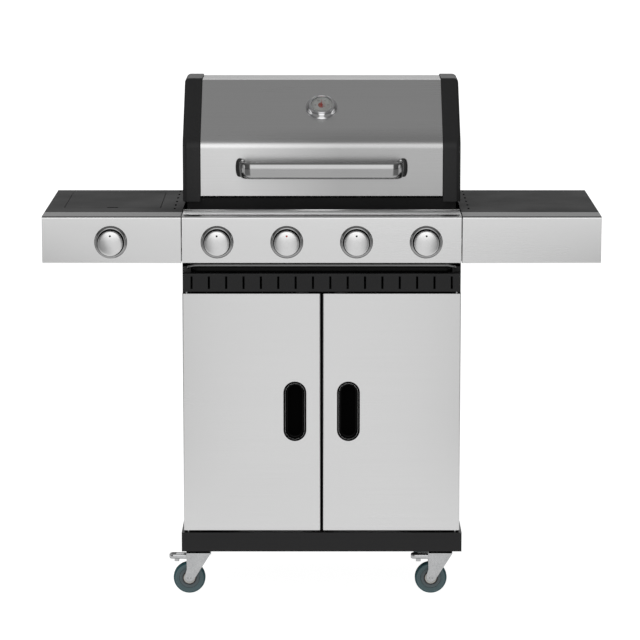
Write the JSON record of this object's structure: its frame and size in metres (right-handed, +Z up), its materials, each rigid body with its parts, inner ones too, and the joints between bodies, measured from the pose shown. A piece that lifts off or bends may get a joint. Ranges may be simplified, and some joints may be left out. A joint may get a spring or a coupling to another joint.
{
  "type": "gas barbecue grill",
  "caption": "Gas barbecue grill on a two-door cabinet cart with a hinged hood, side shelves, a flush-lidded side burner, push-and-turn knobs and swivel casters.",
  "frame": {"origin": "on the ground, below the centre of the grill's overall box", "axes": "+X to the right of someone facing the grill, +Y to the back, +Z up"},
  "size_m": [1.28, 0.505, 1.1935],
  "materials": {
    "brushed_steel": "fine brushed grain, satin",
    "black_enamel": "semi-gloss black powder coat",
    "black_cast": "satin black on cast ends",
    "shelf_black": "fine matt black powder coat",
    "cast_iron": "seasoned matt",
    "chrome": "polished",
    "satin_silver": "satin, lathe-turned",
    "black_plastic": "fine texture",
    "zinc": "bright zinc plate",
    "steel_dark": "plain stainless",
    "brass": "plain",
    "tyre": "blue-grey thermoplastic rubber",
    "dial": "printed face",
    "needle_red": "painted",
    "gauge_glass": "clear"
  },
  "bodies": {
    "cart": {"cart_base": "black_enamel", "cart_sides": "black_enamel", "cart_back": "black_enamel", "front_rail": "black_enamel", "control_panel": "brushed_steel", "fascia_left": "brushed_steel", "fascia_right": "brushed_steel", "shelf_left": "shelf_black", "shelf_right": "shelf_black", "firebox_brackets": "black_enamel", "knob_bezels": "chrome", "gas_valves": "brass", "gas_manifold": "steel_dark", "firebox": "black_enamel", "burner_tubes": "steel_dark", "flame_tamers": "steel_dark", "cooking_grates": "cast_iron", "warming_rack": "chrome", "door_magnets": "black_plastic", "side_burner_well": "black_enamel", "side_burner_head": "brass", "side_burner_stand": "cast_iron", "hinge_pins": "zinc", "caster_plates": "zinc", "fasteners": "zinc"},
    "hood": {"hood_skin": "brushed_steel", "hood_cap_left": "black_cast", "hood_cap_right": "black_cast", "hood_handle": "chrome", "handle_ferrules": "chrome", "thermometer_case": "chrome", "thermometer_dial": "dial", "thermometer_glass": "gauge_glass"},
    "needle": {"thermometer_needle": "needle_red"},
    "door_left": {"door_left": "brushed_steel", "pull_left": "black_plastic"},
    "door_right": {"door_right": "brushed_steel", "pull_right": "black_plastic"},
    "drip_tray": {"drip_tray": "steel_dark"},
    "burner_lid": {"side_burner_lid": "shelf_black"},
    "stem_1": {"valve_stem_1": "steel_dark"},
    "knob_1": {"knob_1": "satin_silver"},
    "stem_2": {"valve_stem_2": "steel_dark"},
    "knob_2": {"knob_2": "satin_silver"},
    "stem_3": {"valve_stem_3": "steel_dark"},
    "knob_3": {"knob_3": "satin_silver"},
    "stem_4": {"valve_stem_4": "steel_dark"},
    "knob_4": {"knob_4": "satin_silver"},
    "stem_5": {"valve_stem_5": "steel_dark"},
    "knob_5": {"knob_5": "satin_silver"},
    "fork_front_left": {"fork_front_left": "zinc"},
    "wheel_front_left": {"wheel_front_left": "tyre"},
    "brake_front_left": {"brake_pedal_front_left": "zinc"},
    "fork_front_right": {"fork_front_right": "zinc"},
    "wheel_front_right": {"wheel_front_right": "tyre"},
    "brake_front_right": {"brake_pedal_front_right": "zinc"},
    "fork_rear_left": {"fork_rear_left": "zinc"},
    "wheel_rear_left": {"wheel_rear_left": "tyre"},
    "fork_rear_right": {"fork_rear_right": "zinc"},
    "wheel_rear_right": {"wheel_rear_right": "tyre"}
  },
  "joints": [
    {"name": "hood_hinge", "type": "hinge", "parent": "cart", "child": "hood", "pos_m": [0, 0.2455, 0.928], "axis": [-1, 0, 0], "range_deg": [0, 85]},
    {"name": "needle_turn", "type": "hinge", "parent": "hood", "child": "needle", "pos_m": [0, -0.02447, 1.13035], "axis": [0, 0.6428, -0.766], "range_deg": [0, 240]},
    {"name": "door_left_hinge", "type": "hinge", "parent": "cart", "child": "door_left", "pos_m": [-0.31, -0.2145, 0.502], "axis": [0, 0, -1], "range_deg": [0, 110]},
    {"name": "door_right_hinge", "type": "hinge", "parent": "cart", "child": "door_right", "pos_m": [0.31, -0.2145, 0.502], "axis": [0, 0, 1], "range_deg": [0, 110]},
    {"name": "drip_tray_slide", "type": "slide", "parent": "cart", "child": "drip_tray", "axis": [0, -1, 0], "range_m": [0, 0.3]},
    {"name": "burner_lid_hinge", "type": "hinge", "parent": "cart", "child": "burner_lid", "pos_m": [-0.4875, 0.1835, 0.8985], "axis": [-1, 0, 0], "range_deg": [0, 95]},
    {"name": "knob_1_push", "type": "slide", "parent": "cart", "child": "stem_1", "axis": [0, 1, 0], "range_m": [0, 0.004], "stiffness_N_per_m": 900, "springref_m": -0.003},
    {"name": "knob_1_turn", "type": "hinge", "parent": "stem_1", "child": "knob_1", "pos_m": [-0.4826, -0.2245, 0.8427], "axis": [0, -1, 0], "range_deg": [0, 210]},
    {"name": "knob_2_push", "type": "slide", "parent": "cart", "child": "stem_2", "axis": [0, 1, 0], "range_m": [0, 0.004], "stiffness_N_per_m": 900, "springref_m": -0.003},
    {"name": "knob_2_turn", "type": "hinge", "parent": "stem_2", "child": "knob_2", "pos_m": [-0.23925, -0.2245, 0.8427], "axis": [0, -1, 0], "range_deg": [0, 210]},
    {"name": "knob_3_push", "type": "slide", "parent": "cart", "child": "stem_3", "axis": [0, 1, 0], "range_m": [0, 0.004], "stiffness_N_per_m": 900, "springref_m": -0.003},
    {"name": "knob_3_turn", "type": "hinge", "parent": "stem_3", "child": "knob_3", "pos_m": [-0.07975, -0.2245, 0.8427], "axis": [0, -1, 0], "range_deg": [0, 210]},
    {"name": "knob_4_push", "type": "slide", "parent": "cart", "child": "stem_4", "axis": [0, 1, 0], "range_m": [0, 0.004], "stiffness_N_per_m": 900, "springref_m": -0.003},
    {"name": "knob_4_turn", "type": "hinge", "parent": "stem_4", "child": "knob_4", "pos_m": [0.07975, -0.2245, 0.8427], "axis": [0, -1, 0], "range_deg": [0, 210]},
    {"name": "knob_5_push", "type": "slide", "parent": "cart", "child": "stem_5", "axis": [0, 1, 0], "range_m": [0, 0.004], "stiffness_N_per_m": 900, "springref_m": -0.003},
    {"name": "knob_5_turn", "type": "hinge", "parent": "stem_5", "child": "knob_5", "pos_m": [0.23925, -0.2245, 0.8427], "axis": [0, -1, 0], "range_deg": [0, 210]},
    {"name": "caster_front_left_swivel", "type": "hinge", "parent": "cart", "child": "fork_front_left", "pos_m": [-0.2835, -0.1595, 0.1], "axis": [0, 0, 1], "continuous": true},
    {"name": "caster_front_left_spin", "type": "hinge", "parent": "fork_front_left", "child": "wheel_front_left", "pos_m": [-0.3105, -0.1595, 0.0375], "axis": [0, 1, 0], "continuous": true},
    {"name": "brake_front_left_press", "type": "hinge", "parent": "fork_front_left", "child": "brake_front_left", "pos_m": [-0.2995, -0.1595, 0.087], "axis": [0, -1, 0], "range_deg": [0, 12]},
    {"name": "caster_front_right_swivel", "type": "hinge", "parent": "cart", "child": "fork_front_right", "pos_m": [0.2835, -0.1595, 0.1], "axis": [0, 0, 1], "continuous": true},
    {"name": "caster_front_right_spin", "type": "hinge", "parent": "fork_front_right", "child": "wheel_front_right", "pos_m": [0.2565, -0.1595, 0.0375], "axis": [0, 1, 0], "continuous": true},
    {"name": "brake_front_right_press", "type": "hinge", "parent": "fork_front_right", "child": "brake_front_right", "pos_m": [0.2675, -0.1595, 0.087], "axis": [0, -1, 0], "range_deg": [0, 12]},
    {"name": "caster_rear_left_swivel", "type": "hinge", "parent": "cart", "child": "fork_rear_left", "pos_m": [-0.2835, 0.1705, 0.1], "axis": [0, 0, 1], "continuous": true},
    {"name": "caster_rear_left_spin", "type": "hinge", "parent": "fork_rear_left", "child": "wheel_rear_left", "pos_m": [-0.2835, 0.1975, 0.0375], "axis": [1, 0, 0], "continuous": true},
    {"name": "caster_rear_right_swivel", "type": "hinge", "parent": "cart", "child": "fork_rear_right", "pos_m": [0.2835, 0.1705, 0.1], "axis": [0, 0, 1], "continuous": true},
    {"name": "caster_rear_right_spin", "type": "hinge", "parent": "fork_rear_right", "child": "wheel_rear_right", "pos_m": [0.2565, 0.1705, 0.0375], "axis": [0, 1, 0], "continuous": true}
  ]
}
